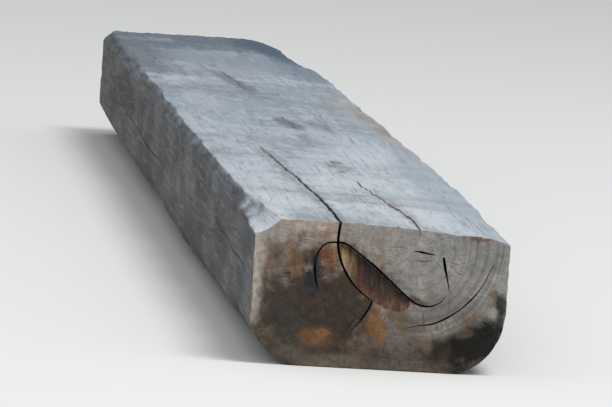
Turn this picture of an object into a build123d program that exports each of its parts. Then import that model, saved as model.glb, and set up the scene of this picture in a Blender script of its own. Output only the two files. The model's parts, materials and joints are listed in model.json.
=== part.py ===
from build123d import *
from dataclasses import dataclass
import os

# An old hewn railway sleeper, one piece of timber, in millimetres.
# It lies as it is stored: the plain broad face up, the face that carried the rails down.
# X runs across it, Y along it away from the near end, Z up from the underside.

# The timber
LENGTH = 2600.0
WIDTH = 250.0
HEIGHT = 141.0
TOP_FALL = 12.5  # how much lower than its crown the top's right edge lies, where it falls the most
TOP_BOW = 2.0  # how far the falling part of the top bows up there
SHOULDER_HEIGHT = 15.0  # the bevel between the top and the left side
SHOULDER_BOW = 1.5
ARRIS = 3.0  # the small worn edge where the top meets the right side
ARRIS_BOW = 0.8
HEWN_CORNER_WIDTH = 46.0  # the axe-cut corner at the lower left
HEWN_CORNER_HEIGHT = 38.0
HEWN_CORNER_BOW = 7.0
ROUND_CORNER_WIDTH = 52.0  # the log's own rounding at the lower right
ROUND_CORNER_HEIGHT = 60.0
ROUND_CORNER_BOW = 15.0
SAWN_OFF_BELOW = 2.0  # sawn flat from the rounded log to make the underside

# The rail seats and their screw holes, in the underside
TRACK_GAUGE = 1435.0
RAIL_HEAD = 70.0
SCREW_HOLE = 19.0
SCREWS_ACROSS = 90.0
SCREWS_ALONG = 290.0
SEAT_MARGIN = 55.0  # planed wood past the screws' centres, each way along the timber
SEAT_DEPTH = 4.0
SCREW_COVER = 26.0  # wood left above each blind hole

# The splits, measured on the near end: how wide each gapes and how far it runs in
TOP_CHECK_GAPE = 4.5
TOP_CHECK_LENGTH = 810.0
HEART_CHECK_GAPE = 2.6
RING_SHAKE_GAPE = 3.2
OUTER_SHAKE_GAPE = 2.2
SIDE_CHECK_GAPE = 2.8
SHAKE_DEPTH = 60.0
HEART_SUNK = 6.0  # how far the lens of heartwood between two of them has sunk in
CLOSED_GAPE = 0.3  # a split's width where it has nearly closed
CLOSED_SHARE = 0.05  # share of the lens's width that lies at its full depth
OVERCUT = 5.0  # how far a cutting solid stands out of the wood

SEAT_CENTRE = (TRACK_GAUGE + RAIL_HEAD) / 2


@dataclass
class Section:
    """A cross-section, with what differs from one place along the timber to the next."""

    place: float  # where it is along the timber, from 0 at the near end to 1 at the far end
    left_in: float  # how far each side is hewn in from the full width
    right_in: float
    crown: float  # where the top starts to fall to the right, from the centre line
    fall: float  # share of TOP_FALL by which it falls
    shoulder: float  # width of the bevel on the left top edge
    fullness: float = 1.0  # how much of their named sizes the two lower corners have


SECTIONS = [
    Section(place=0.0, left_in=0.0, right_in=1.5, crown=-22.0, fall=1.0, shoulder=24.0),
    Section(place=0.12, left_in=2.0, right_in=1.0, crown=-10.0, fall=0.45, shoulder=11.0, fullness=0.94),
    Section(place=0.35, left_in=0.5, right_in=0.0, crown=14.0, fall=0.25, shoulder=7.0, fullness=0.86),
    Section(place=0.63, left_in=1.5, right_in=1.0, crown=36.0, fall=0.2, shoulder=9.0, fullness=0.94),
    Section(place=0.79, left_in=0.5, right_in=1.0, crown=50.0, fall=0.25, shoulder=11.0, fullness=0.97),
    Section(place=0.9, left_in=0.0, right_in=3.5, crown=60.0, fall=0.95, shoulder=12.0),
    Section(place=1.0, left_in=1.0, right_in=5.0, crown=66.0, fall=1.0, shoulder=14.0, fullness=1.06),
]


def station(along):
    """The plane across the timber at a distance from the near end, seen from that end."""
    return Plane(origin=(0, along - LENGTH / 2, 0), x_dir=(1, 0, 0), z_dir=(0, -1, 0))


def bowed(start, end, bow):
    """An arc from start to end that bows out to the left of that direction."""
    chord = Vector(*end) - Vector(*start)
    middle = (Vector(*start) + Vector(*end)) / 2 + Vector(-chord.Y, chord.X).normalized() * bow
    return ThreePointArc(start, (middle.X, middle.Y), end)


def timber_face(section):
    """The outline of the timber at one section, from lines and arcs, clockwise from the lower left."""
    left = -WIDTH / 2 + section.left_in
    right = WIDTH / 2 - section.right_in
    foot = -SAWN_OFF_BELOW
    hewn_across = left + HEWN_CORNER_WIDTH * section.fullness
    hewn_up = HEWN_CORNER_HEIGHT * section.fullness
    round_across = right - ROUND_CORNER_WIDTH * section.fullness
    round_up = ROUND_CORNER_HEIGHT * section.fullness
    low_edge = HEIGHT - TOP_FALL * section.fall

    shoulder_foot = (left, HEIGHT - SHOULDER_HEIGHT)
    shoulder_top = (left + section.shoulder, HEIGHT)
    crown = (section.crown, HEIGHT)
    top_right = (right - ARRIS, low_edge)
    side_top = (right, low_edge - ARRIS)
    edges = [
        bowed((hewn_across, foot), (left, hewn_up), HEWN_CORNER_BOW),
        Line((left, hewn_up), shoulder_foot),
        bowed(shoulder_foot, shoulder_top, SHOULDER_BOW),
        Line(shoulder_top, crown),
        bowed(crown, top_right, TOP_BOW * section.fall),
        bowed(top_right, side_top, ARRIS_BOW),
        Line(side_top, (right, round_up)),
        bowed((right, round_up), (round_across, foot), ROUND_CORNER_BOW),
        Line((round_across, foot), (hewn_across, foot)),
    ]
    return station(section.place * LENGTH) * make_face(edges)


def timber():
    """The timber before it was fitted for track: lofted through its sections, then sawn flat below."""
    log = loft([timber_face(section) for section in SECTIONS])
    slab = Box(WIDTH + 2 * OVERCUT, LENGTH + 2 * OVERCUT, SAWN_OFF_BELOW + OVERCUT)
    return log - Pos(0, 0, -(SAWN_OFF_BELOW + OVERCUT) / 2) * slab


def rail_seat(centre):
    """What is planed off across the underside for one rail's bearing plate."""
    planed = Box(WIDTH + 2 * OVERCUT, SCREWS_ALONG + 2 * SEAT_MARGIN, SEAT_DEPTH + OVERCUT)
    return Pos(0, centre, (SEAT_DEPTH - OVERCUT) / 2) * planed


def screw_holes(centre):
    """The four blind holes that held one bearing plate's coach screws."""
    top = HEIGHT - TOP_FALL - SCREW_COVER
    hole = Cylinder(SCREW_HOLE / 2, top + OVERCUT)
    places = GridLocations(SCREWS_ACROSS, SCREWS_ALONG, 2, 2)
    return [Pos(0, centre, (top - OVERCUT) / 2) * place * hole for place in places]


def gap_face(line, gape, along, open_end=False):
    """A split's outline at one place: two curves a gape apart that meet at its tips.

    The line gives the split's places across from the centre line and down from the top's crown.
    A split that comes out of the wood at its first place has an open end there.
    """
    points = [Vector(across, HEIGHT - down) for across, down in line]
    last = len(points) - 1
    sides = {1: [], -1: []}
    for index, point in enumerate(points):
        before, after = points[max(index - 1, 0)], points[min(index + 1, last)]
        half = Vector(before.Y - after.Y, after.X - before.X).normalized() * gape / 2
        if index == last or (index == 0 and not open_end):
            half = Vector(0, 0)
        for side, curve in sides.items():
            place = point + half * side
            curve.append((place.X, place.Y))
    edges = [Spline(*sides[1]), Spline(*sides[-1])]
    if open_end:
        edges.append(Line(sides[1][0], sides[-1][0]))
    return station(along) * make_face(edges)


def shake(line, gape):
    """A split that shows on the near end and closes as it runs into the wood."""
    return loft([gap_face(line, gape, -OVERCUT), gap_face(line, CLOSED_GAPE, SHAKE_DEPTH)])


def ring_shake():
    """The widest shake: it arches over the heart and runs down to the right between two growth rings."""
    arch = [(-65, 44), (-61, 27), (-51, 19.5), (-38, 21), (-20, 31)]
    run = [(9, 56), (28, 72), (44, 77.5), (63, 65)]
    return shake(arch + run, RING_SHAKE_GAPE)


def outer_shake():
    """The shake that curves up along an outer growth ring at the right."""
    return shake([(23, 97), (52, 95), (80, 76), (98, 51), (106, 29)], OUTER_SHAKE_GAPE)


def heart_check():
    """The short check that goes on down and left from the foot of the top check."""
    return shake([(-8, 76), (-12, 87), (-23, 103)], HEART_CHECK_GAPE)


def side_check():
    """The short check down the right of the heart to the ring shake."""
    return shake([(59, 29), (63, 45), (66, 62)], SIDE_CHECK_GAPE)


def top_check():
    """The long drying check: it cuts the near end down to the heart and runs along the top face."""
    part_way = 0.4 * TOP_CHECK_LENGTH
    part_closed = 0.7 * TOP_CHECK_GAPE
    at_end = [(-43.0, -OVERCUT), (-44.5, 25.0), (-35.0, 50.0), (-9.0, 76.0)]
    further_in = [(-39.0, -OVERCUT), (-40.0, 13.0), (-38.0, 28.0), (-34.0, 43.0)]
    closing = [(-52.0, -OVERCUT), (-52.0, 2.0), (-51.5, 5.0), (-51.0, 8.0)]
    return loft(
        [
            gap_face(at_end, TOP_CHECK_GAPE, -OVERCUT, open_end=True),
            gap_face(further_in, part_closed, part_way, open_end=True),
            gap_face(closing, CLOSED_GAPE, TOP_CHECK_LENGTH, open_end=True),
        ]
    )


def lens_face(along, share):
    """The lens of sunken heartwood at one place, as a share of its width from the ring shake down."""
    shake_side = [(-43.5, 20.5), (-38, 21), (-20, 31), (9, 56), (22, 67), (31, 74)]
    check_side = [(-43.5, 20.5), (-43.5, 32), (-35, 50), (-9, 76), (16, 84.5), (31, 74)]
    upper = [Vector(across, HEIGHT - down) for across, down in shake_side]
    lower = [Vector(across, HEIGHT - down) for across, down in check_side]
    edges = [Spline(*upper), Spline(*[top + (foot - top) * share for top, foot in zip(upper, lower)])]
    return station(along) * make_face(edges)


def sunken_heart():
    """What is lost where the lens has sunk in: nothing at its lower edge and most along the shake."""
    before = OVERCUT / HEART_SUNK
    return loft([lens_face(-OVERCUT, 1 + before * (1 - CLOSED_SHARE)), lens_face(HEART_SUNK, CLOSED_SHARE)])


def sleeper():
    """The whole sleeper, one solid: the timber with its seats and holes cut, split where it has dried."""
    body = timber()
    for centre in (-SEAT_CENTRE, SEAT_CENTRE):
        body -= rail_seat(centre)
        body -= screw_holes(centre)
    for split in (top_check(), ring_shake(), outer_shake(), heart_check(), side_check()):
        body -= split
    return body - sunken_heart()


os.makedirs("parts", exist_ok=True)
export_step(sleeper(), "parts/sleeper.step")
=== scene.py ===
import json
import math
from dataclasses import dataclass

import bmesh
import bpy
import numpy as np
from mathutils import Matrix, Vector, geometry

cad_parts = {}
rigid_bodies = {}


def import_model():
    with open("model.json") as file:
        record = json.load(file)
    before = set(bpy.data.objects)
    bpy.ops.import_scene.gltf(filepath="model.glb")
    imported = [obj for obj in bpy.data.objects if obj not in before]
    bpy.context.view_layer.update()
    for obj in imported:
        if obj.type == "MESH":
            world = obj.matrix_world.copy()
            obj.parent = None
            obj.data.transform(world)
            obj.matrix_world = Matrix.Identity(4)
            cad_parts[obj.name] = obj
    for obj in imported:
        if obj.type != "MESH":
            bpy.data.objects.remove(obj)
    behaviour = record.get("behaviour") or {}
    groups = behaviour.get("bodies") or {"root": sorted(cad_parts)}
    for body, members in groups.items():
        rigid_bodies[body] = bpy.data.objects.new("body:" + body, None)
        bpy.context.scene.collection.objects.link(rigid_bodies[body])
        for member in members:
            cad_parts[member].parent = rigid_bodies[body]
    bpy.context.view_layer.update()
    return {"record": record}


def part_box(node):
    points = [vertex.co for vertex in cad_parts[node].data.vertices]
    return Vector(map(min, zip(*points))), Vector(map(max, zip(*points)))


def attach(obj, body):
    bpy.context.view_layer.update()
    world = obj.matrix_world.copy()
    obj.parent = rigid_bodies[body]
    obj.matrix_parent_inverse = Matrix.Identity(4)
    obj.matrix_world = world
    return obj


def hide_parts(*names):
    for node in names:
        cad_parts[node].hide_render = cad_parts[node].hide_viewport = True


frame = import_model()

# The camera, where the photograph was taken from: low, in front of the near end and to its left,
# turned to bring the sleeper to the middle, and leaning a little to the side as it was held.
CAMERA_PLACE = (-0.6545, -7.411, 0.7133)
CAMERA_AIM = (0.0447, 0.0, 0.0381)
CAMERA_LEAN = math.radians(3.78)
CAMERA_LENS = 378.0  # millimetres
CAMERA_REACH = 60.0


def add_object(name, data):
    """A new object in the scene, at the origin."""
    added = bpy.data.objects.new(name, data)
    bpy.context.scene.collection.objects.link(added)
    return added


def aimed(place, aim, lean=0.0):
    """The place and turn of a thing that points from a place to an aim, upright or leaning over."""
    way = (Vector(aim) - Vector(place)).to_track_quat("-Z", "Y").to_matrix().to_4x4()
    return Matrix.Translation(place) @ way @ Matrix.Rotation(lean, 4, "Z")


camera = add_object("camera", bpy.data.cameras.new("camera"))
camera.data.lens = CAMERA_LENS
camera.data.clip_end = CAMERA_REACH
camera.matrix_world = aimed(CAMERA_PLACE, CAMERA_AIM, CAMERA_LEAN)
bpy.context.scene.camera = camera


# The timber: half of a log, sawn flat through the heart for the face that lies up, with the sides
# hewn by axe and the log's rounding left on the lower corners. Every row of the mesh is one
# cross-section, worked out from the same few sizes along the whole length.
low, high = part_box("sleeper")
LENGTH = high.y - low.y
HEIGHT = high.z
WIDTH = 0.250
TOP_FALL = 0.0125
TOP_BOW = 0.002
SHOULDER_HEIGHT = 0.015
SHOULDER_BOW = 0.0015
ARRIS = 0.003
ARRIS_BOW = 0.0008
HEWN_CORNER_WIDTH = 0.046
HEWN_CORNER_HEIGHT = 0.038
HEWN_BOW = 0.007
ROUND_CORNER_WIDTH = 0.052
ROUND_CORNER_HEIGHT = 0.060
ROUND_BOW = 0.015
SAWN_OFF_BELOW = 0.002
SECTION_PLACES = (0.0, 0.12, 0.35, 0.63, 0.79, 0.9, 1.0)  # shares of the length, from the near end
LEFT_IN = (0.0, 0.002, 0.0005, 0.0015, 0.0005, 0.0, 0.001)
RIGHT_IN = (0.0015, 0.001, 0.0, 0.001, 0.001, 0.0035, 0.005)
CROWN = (-0.022, -0.010, 0.014, 0.036, 0.050, 0.060, 0.066)
FALL = (1.0, 0.45, 0.25, 0.20, 0.25, 0.95, 1.0)  # shares of TOP_FALL
SHOULDER = (0.024, 0.011, 0.007, 0.009, 0.011, 0.012, 0.014)
FULLNESS = (1.0, 0.94, 0.86, 0.94, 0.97, 1.0, 1.06)
ARRIS_LOSS = 0.003  # how much more of the right arris has broken away at its worst places
SIDE_WANDER = 0.0006  # how far in the right side wanders, on average
CORNER_WANDER = 0.05  # share by which the sizes of the lower corners go up and down
SCOOPED, FINELY_SCOOPED = 0.35, 0.25  # shares by which the shoulder's width goes up and down
SCOOPED_FROM = 0.2  # how far in from the near end it gets that uneven
NEAR_REACH = 0.30  # how far in from the near end HOLLOW and FULLER fade out
HOLLOW = 0.0038  # how far the left shoulder is hollowed instead of bowed
FULLER = 0.003  # how much fuller the top is towards its right edge
FULLER_ACROSS, FULLER_WIDTH = 0.098, 0.018
END_WEAR = 0.0012  # how far the edges of both ends have worn round
MEAN_WEAR, WEAR_SWING = 0.75, 0.45  # shares of END_WEAR: the mean, and how far it goes up and down
LEAST_WEAR, MOST_WEAR = 0.3, 1.4
END_ROWS = (0.12, 0.45, 1.0)  # where those edges have rows of the mesh, in shares of END_WEAR
ROW_PITCH = 0.010
STEP_ROW = 0.0004  # how near to a seat's edge the rows on each side of it are
STEP_CLEAR = 3 * STEP_ROW  # how far from it the next rows stay
TOP_PITCH = 0.0026
SIDE_PITCH = 0.0028
UNDER_PITCH = 0.0042


def smooth_through(places, values, at):
    """A smooth run through values at increasing places, read at any others."""
    places, values = np.asarray(places, float), np.asarray(values, float)
    slopes = np.gradient(values, places)
    left = np.clip(np.searchsorted(places, at) - 1, 0, len(places) - 2)
    gap = places[left + 1] - places[left]
    t = np.clip((at - places[left]) / gap, 0, 1)
    rise = (values[left + 1] - values[left]) * t * t * (3 - 2 * t)
    lean = slopes[left] * t * (1 - t) ** 2 - slopes[left + 1] * t * t * (1 - t)
    return values[left] + rise + lean * gap


def wander(at, step, seed):
    """A smooth random run between -1 and 1 along the timber, which turns about once a step."""
    knots = np.arange(-2, int(LENGTH / step) + 4) * step
    values = np.random.default_rng(seed).uniform(-1, 1, len(knots))
    return smooth_through(knots, values, at)


def by_section(values):
    """What is given for the sections, run smoothly through all rows."""
    return smooth_through(SECTION_PLACES, values, rows / LENGTH)


def span(start, end, bow, pitch):
    """Columns of points from start, up to but not with end, bowed out of the straight line."""
    chord = end - start
    columns = max(3, round(np.linalg.norm(chord, axis=1).mean() / pitch))
    t = (np.arange(columns) / columns)[None, :, None]
    out = np.stack([-chord[:, 1], chord[:, 0]], -1)
    out /= np.linalg.norm(out, axis=1, keepdims=True)
    return start[:, None] * (1 - t) + end[:, None] * t + out[:, None] * bow * 4 * t * (1 - t)


mounts = {mount["name"]: mount for mount in frame["record"]["mounts"]}
screws = mounts["screw_holes_far"]
SEAT_CENTRE = screws["pos_m"][1]
SEAT_DEPTH = screws["pos_m"][2]
SCREWS_ACROSS = screws["dims"]["spacing_x_mm"] / 1000
SCREWS_ALONG = screws["dims"]["spacing_y_mm"] / 1000
SCREW_HOLE_RADIUS = screws["dims"]["hole_r_mm"] / 1000
SEAT_MARGIN = 0.055
SCREW_COVER = 0.026

seat_half = SCREWS_ALONG / 2 + SEAT_MARGIN
seat_edges = [side * SEAT_CENTRE + end * seat_half for side in (-1, 1) for end in (-1, 1)]
rows = np.linspace(0, LENGTH, round(LENGTH / ROW_PITCH))
clear_of = np.array(seat_edges) + LENGTH / 2
rows = rows[np.abs(rows[:, None] - clear_of).min(1) > STEP_CLEAR]
worn_rows = END_WEAR * np.array(END_ROWS)
steps = np.concatenate([clear_of - STEP_ROW, clear_of + STEP_ROW])
rows = np.sort(np.concatenate([rows, steps, worn_rows, LENGTH - worn_rows]))

left = -WIDTH / 2 + by_section(LEFT_IN)
right = WIDTH / 2 - by_section(RIGHT_IN) - SIDE_WANDER * (1 + wander(rows, 0.16, 3))
crown = by_section(CROWN)
fall = by_section(FALL)
near = np.clip(1 - rows / NEAR_REACH, 0, 1)
scooped = SCOOPED * wander(rows, 0.11, 4) + FINELY_SCOOPED * wander(rows, 0.045, 9)
scooped = scooped * np.clip(rows / SCOOPED_FROM, 0, 1)
shoulder = by_section(SHOULDER) * (1 + scooped)
shoulder_bow = SHOULDER_BOW - HOLLOW * near
fullness = by_section(FULLNESS) * (1 + CORNER_WANDER * wander(rows, 0.2, 5))
broken = ARRIS + ARRIS_LOSS * np.clip(wander(rows, 0.09, 6) + 0.4 * wander(rows, 0.035, 7), 0, 1)
low_edge = HEIGHT - TOP_FALL * fall

# Where each stretch of the outline starts, across and up, how far it bows out, and its pitch
stretches = (
    (left + HEWN_CORNER_WIDTH * fullness, -SAWN_OFF_BELOW, HEWN_BOW, SIDE_PITCH),
    (left, HEWN_CORNER_HEIGHT * fullness, 0.0, SIDE_PITCH),
    (left, HEIGHT - SHOULDER_HEIGHT, shoulder_bow[:, None, None], TOP_PITCH),
    (left + shoulder, HEIGHT, 0.0, TOP_PITCH),
    (crown, HEIGHT, TOP_BOW * fall[:, None, None], TOP_PITCH),
    (right - broken, low_edge, ARRIS_BOW, TOP_PITCH),
    (right, low_edge - broken, 0.0, SIDE_PITCH),
    (right, ROUND_CORNER_HEIGHT * fullness, ROUND_BOW, SIDE_PITCH),
    (right - ROUND_CORNER_WIDTH * fullness, -SAWN_OFF_BELOW, 0.0, UNDER_PITCH),
)
starts = [np.stack(np.broadcast_arrays(across, up, rows)[:2], -1) for across, up, _, _ in stretches]
ring = []
for start, end, (_, _, bow, pitch) in zip(starts, starts[1:] + starts[:1], stretches):
    ring.append(span(start, end, bow, pitch))
ring = np.concatenate(ring, 1)
ring[..., 1] = np.maximum(ring[..., 1], 0.0)
swell = near[:, None] * FULLER * np.exp(-(((ring[..., 0] - FULLER_ACROSS) / FULLER_WIDTH) ** 2))
ring[..., 1] += swell * np.clip((ring[..., 1] - HEIGHT / 2) / (HEIGHT / 2 - TOP_FALL), 0, 1)

# The edges of the ends are worn round, unevenly.
around = np.roll(ring, -1, 1) - np.roll(ring, 1, 1)
outward = np.stack([-around[..., 1], around[..., 0]], -1)
outward /= np.linalg.norm(outward, axis=2, keepdims=True) + 1e-9
from_end = np.minimum(rows, LENGTH - rows)
inset = END_WEAR * (1 - np.sqrt(1 - (1 - np.clip(from_end / END_WEAR, 0, 1)) ** 2))
uneven = MEAN_WEAR + WEAR_SWING * wander(np.linspace(0, 1, ring.shape[1]) * LENGTH, 0.06, 8)
ring -= outward * inset[:, None, None] * np.clip(uneven, LEAST_WEAR, MOST_WEAR)[None, :, None]

in_seat = np.zeros(len(rows), bool)
for side in (-1, 1):
    in_seat |= np.abs(rows - LENGTH / 2 - side * SEAT_CENTRE) < seat_half
ring[in_seat, :, 1] = np.maximum(ring[in_seat, :, 1], SEAT_DEPTH)
ring[..., 0] = np.clip(ring[..., 0], low.x, high.x)
ring[..., 1] = np.clip(ring[..., 1], low.z, high.z)

row_count, column_count = ring.shape[:2]
along = np.broadcast_to(rows[:, None] - LENGTH / 2, ring.shape[:2])
places = np.stack([ring[..., 0], along, ring[..., 1]], -1)


def walls_between(count, sides):
    """The faces that join a number of closed loops, each to the next, with so many sides to a loop."""
    walls = []
    for loop in range(count - 1):
        here, there = loop * sides, (loop + 1) * sides
        for corner in range(sides):
            after = (corner + 1) % sides
            walls.append((here + corner, here + after, there + after, there + corner))
    return walls


def new_timber_mesh(vertices, faces, measures):
    """A mesh of the timber, with the named measures of the wood at its vertices."""
    mesh = bpy.data.meshes.new("sleeper_timber")
    mesh.from_pydata(vertices, [], faces)
    for name, values in measures.items():
        kept = mesh.attributes.new(name, "FLOAT", "POINT").data
        kept.foreach_set("value", np.ascontiguousarray(values, np.float32))
    return mesh


vertices = places.reshape(-1, 3).tolist()
faces = walls_between(row_count, column_count)
faces_up = outward[..., 1].ravel()
timber = add_object("sleeper_timber", new_timber_mesh(vertices, faces, {"faces_up": faces_up}))


# Weathering: rain and sun have worn the soft wood away between the harder growth rings, so the
# faces are furrowed along the grain, and they have softened the saw's marks across the top and the
# axe's scallops down the sides. The underside, which lay in the ballast, has kept more of its shape.
TOP_FURROW_DEPTH = 0.0014
SIDE_FURROW_DEPTH = 0.0026
FURROW_WIDTH = 0.010
FURROW_LENGTH = 0.30
FLECK_DEPTH = 0.0009
FLECK_WIDTH = 0.011
FLECK_LENGTH = 0.050
RIPPLE_DEPTH = 0.001
RIPPLE_PITCH = 0.050
RIPPLE_WIDTH = 0.20
SCALLOP_DEPTH = 0.0036
SCALLOP_WIDTH = 0.055
SCALLOP_LENGTH = 0.13
SOUND_ENDS = 0.16  # how far in from each end the sides keep most of their wood
RIGHT_SIDE_SPARED = 0.4  # how much less the right side has lost than the left
UNDERSIDE_SPARED = 0.8  # and the underside
LOST_AT_ENDS = 0.25  # share of their loss that the sides have at the very ends
WEATHERING_SEED = 17.0


class Value:
    """One output of a node. Python arithmetic on it adds Math nodes to the same tree."""

    def __init__(self, maker, socket):
        self.maker, self.socket = maker, socket

    def of(self, name):
        """Another output of the same node."""
        return Value(self.maker, self.socket.node.outputs[name])

    def __add__(self, other):
        return self.maker.math("ADD", self, other)

    def __sub__(self, other):
        return self.maker.math("SUBTRACT", self, other)

    def __rsub__(self, other):
        return self.maker.math("SUBTRACT", other, self)

    def __mul__(self, other):
        return self.maker.math("MULTIPLY", self, other)

    def __truediv__(self, other):
        return self.maker.math("DIVIDE", self, other)

    def __gt__(self, other):
        return self.maker.math("GREATER_THAN", self, other)

    def __abs__(self):
        return self.maker.math("ABSOLUTE", self)

    def __neg__(self):
        return self.maker.math("MULTIPLY", self, -1.0)

    __radd__ = __add__
    __rmul__ = __mul__


class Maker:
    """Fills a node tree, for wood that is shaped by nodes and for its finish alike."""

    def __init__(self, tree):
        self.tree = tree
        self.point = None  # the wood's own coordinates, in a tree that has them

    def node(self, kind, settings=None, sockets=None):
        """Adds a node, sets it up, then gives its sockets their values or links."""
        made = self.tree.nodes.new(kind)
        for name, value in (settings or {}).items():
            setattr(made, name, value)
        for key, value in (sockets or {}).items():
            for term in value if isinstance(value, list) else [value]:
                if isinstance(term, Value):
                    self.tree.links.new(term.socket, made.inputs[key])
                else:
                    made.inputs[key].default_value = term
        outputs = [output for output in made.outputs if output.enabled]
        return Value(self, outputs[0]) if outputs else None

    def math(self, operation, *terms):
        return self.node("ShaderNodeMath", {"operation": operation}, dict(enumerate(terms)))

    def vector(self, operation, *terms):
        return self.node("ShaderNodeVectorMath", {"operation": operation}, dict(enumerate(terms)))

    def scaled(self, vector, factor):
        """A vector made longer or shorter, or a colour made lighter or darker."""
        return self.node("ShaderNodeVectorMath", {"operation": "SCALE"}, {0: vector, "Scale": factor})

    def parts(self, vector):
        apart = self.node("ShaderNodeSeparateXYZ", {}, {0: vector})
        return apart.of("X"), apart.of("Y"), apart.of("Z")

    def noise(self, sizes, detail=2.0, roughness=0.5, seed=None):
        """Noise from 0 to 1 in the wood, whose patches have about these sizes across, along and up."""
        spread = self.vector("MULTIPLY", self.point, tuple(1 / size for size in sizes))
        sockets = {"Vector": spread, "Scale": 1.0, "Detail": detail, "Roughness": roughness}
        if seed is None:
            return self.node("ShaderNodeTexNoise", {}, sockets)
        return self.node("ShaderNodeTexNoise", {"noise_dimensions": "4D"}, sockets | {"W": seed})

    def step(self, value, start, end):
        """0 below start and 1 above end, or the other way round where start is the larger."""
        sockets = {"Value": value, "From Min": start, "From Max": end}
        return self.node("ShaderNodeMapRange", {"interpolation_type": "SMOOTHSTEP"}, sockets)


class GeometryMaker(Maker):
    """A Geometry Nodes tree with named inputs."""

    KINDS = {float: "Float", int: "Int", bpy.types.Material: "Material", bpy.types.Collection: "Collection"}

    def __init__(self, name, values):
        """Starts a tree that takes a geometry and these named values."""
        super().__init__(bpy.data.node_groups.new(name, "GeometryNodeTree"))
        self.tree.interface.new_socket("Geometry", in_out="INPUT", socket_type="NodeSocketGeometry")
        self.tree.interface.new_socket("Geometry", in_out="OUTPUT", socket_type="NodeSocketGeometry")
        self.settings = {}
        for title, value in values.items():
            kind = "NodeSocket" + self.KINDS[type(value)]
            socket = self.tree.interface.new_socket(title, in_out="INPUT", socket_type=kind)
            self.settings[socket.identifier] = value
        self.given = self.node("NodeGroupInput")
        self.point = self.node("GeometryNodeInputPosition")

    def attribute(self, name):
        return self.node("GeometryNodeInputNamedAttribute", {"data_type": "FLOAT"}, {"Name": name})

    def keep(self, surface, name, value):
        """Stores a value at the vertices under a name."""
        sockets = {"Geometry": surface, "Name": name, "Value": value}
        return self.node("GeometryNodeStoreNamedAttribute", {}, sockets)

    def remake(self, piece, result):
        """Runs the tree on a piece, which becomes the plain mesh that comes out."""
        self.node("NodeGroupOutput", {}, {"Geometry": result})
        modifier = piece.modifiers.new(self.tree.name, "NODES")
        modifier.node_group = self.tree
        for identifier, value in self.settings.items():
            modifier[identifier] = value
        graph = bpy.context.evaluated_depsgraph_get()
        plain = bpy.data.meshes.new_from_object(piece.evaluated_get(graph))
        piece.modifiers.remove(modifier)
        piece.data = plain


weathering = GeometryMaker(
    "weathering",
    {
        "Top furrow depth": TOP_FURROW_DEPTH,
        "Side furrow depth": SIDE_FURROW_DEPTH,
        "Fleck depth": FLECK_DEPTH,
        "Ripple depth": RIPPLE_DEPTH,
        "Scallop depth": SCALLOP_DEPTH,
        "Seed": WEATHERING_SEED,
    },
)
given = weathering.given
across, along, _ = weathering.parts(weathering.point)
up_face = weathering.attribute("faces_up")
on_top = weathering.step(up_face, 0.45, 0.95)
sheltered = weathering.step(up_face, -0.35, -0.95)
on_side = (1 - on_top) * (1 - sheltered * UNDERSIDE_SPARED)
on_side = on_side * (1 - weathering.step(across, 0.09, 0.12) * RIGHT_SIDE_SPARED)
from_end = LENGTH / 2 - abs(along)
exposed = weathering.step(from_end, 0.0, SOUND_ENDS) * (1 - LOST_AT_ENDS) + LOST_AT_ENDS


def worn_where(sizes, start, end, detail):
    """How much wood is lost, 0 to 1, in patches of these sizes."""
    patches = weathering.noise(sizes, detail=detail, seed=given.of("Seed"))
    return weathering.step(patches, start, end)


furrows = worn_where((FURROW_WIDTH, FURROW_LENGTH, FURROW_WIDTH), 0.44, 0.74, 3.0)
flecks = worn_where((FLECK_WIDTH, FLECK_LENGTH, FLECK_WIDTH), 0.42, 0.72, 2.0)
ripples = worn_where((RIPPLE_WIDTH, RIPPLE_PITCH, 1.0), 0.36, 0.72, 1.5)
scallops = worn_where((SCALLOP_WIDTH, SCALLOP_LENGTH, SCALLOP_WIDTH), 0.40, 0.80, 1.0)
top_lost = given.of("Top furrow depth") * furrows + given.of("Ripple depth") * ripples
side_lost = given.of("Side furrow depth") * furrows + given.of("Scallop depth") * scallops
lost = on_top * top_lost + on_side * exposed * side_lost + given.of("Fleck depth") * flecks * (1 - sheltered)
inward = weathering.scaled(weathering.node("GeometryNodeInputNormal"), -lost)
marked = weathering.keep(given.of("Geometry"), "lost", lost)
worn = weathering.node("GeometryNodeSetPosition", {}, {"Geometry": marked, "Offset": inward})
weathering.remake(timber, weathering.node("GeometryNodeRealizeInstances", {}, {"Geometry": worn}))


# The ends: sawn square across, then crumbled by weather. At the near end the lens of heartwood
# between the ring shake and the top check has sunk in, most along the shake.
NEAR_PITCH = 0.0018
FAR_PITCH = 0.0026
CRUMBLE_DEPTH = 0.0012
CRUMBLE_SIZE = 0.010
CLEAR_OF_EDGE = 0.6  # how near to the edge the points within an end come, as a share of their pitch
UNEVENNESS = 0.15  # how far they are off their even pattern, as a share of it too
LENS_SINK = 0.006
# Places across the lens, and how far down from the crown its upper and its lower border lie there
LENS_ACROSS = (-0.0435, -0.040, -0.036, -0.029, -0.018, -0.009, 0.006, 0.012, 0.020, 0.026, 0.031)
LENS_TOP = (0.0205, 0.0207, 0.0218, 0.0258, 0.0335, 0.0402, 0.0525, 0.0577, 0.0645, 0.0695, 0.0735)
LENS_FOOT = (0.030, 0.042, 0.0485, 0.057, 0.068, 0.0765, 0.0835, 0.085, 0.085, 0.0815, 0.0735)


def sunken_lens(across, down):
    """How far the near end's heartwood has sunk in at one place."""
    if not LENS_ACROSS[0] < across < LENS_ACROSS[-1]:
        return 0.0
    top, foot = np.interp(across, LENS_ACROSS, LENS_TOP), np.interp(across, LENS_ACROSS, LENS_FOOT)
    return LENS_SINK * (foot - down) / (foot - top) if top < down < foot else 0.0


def level_end(across, down):
    """The far end hasn't sunk anywhere."""
    return 0.0


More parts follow.
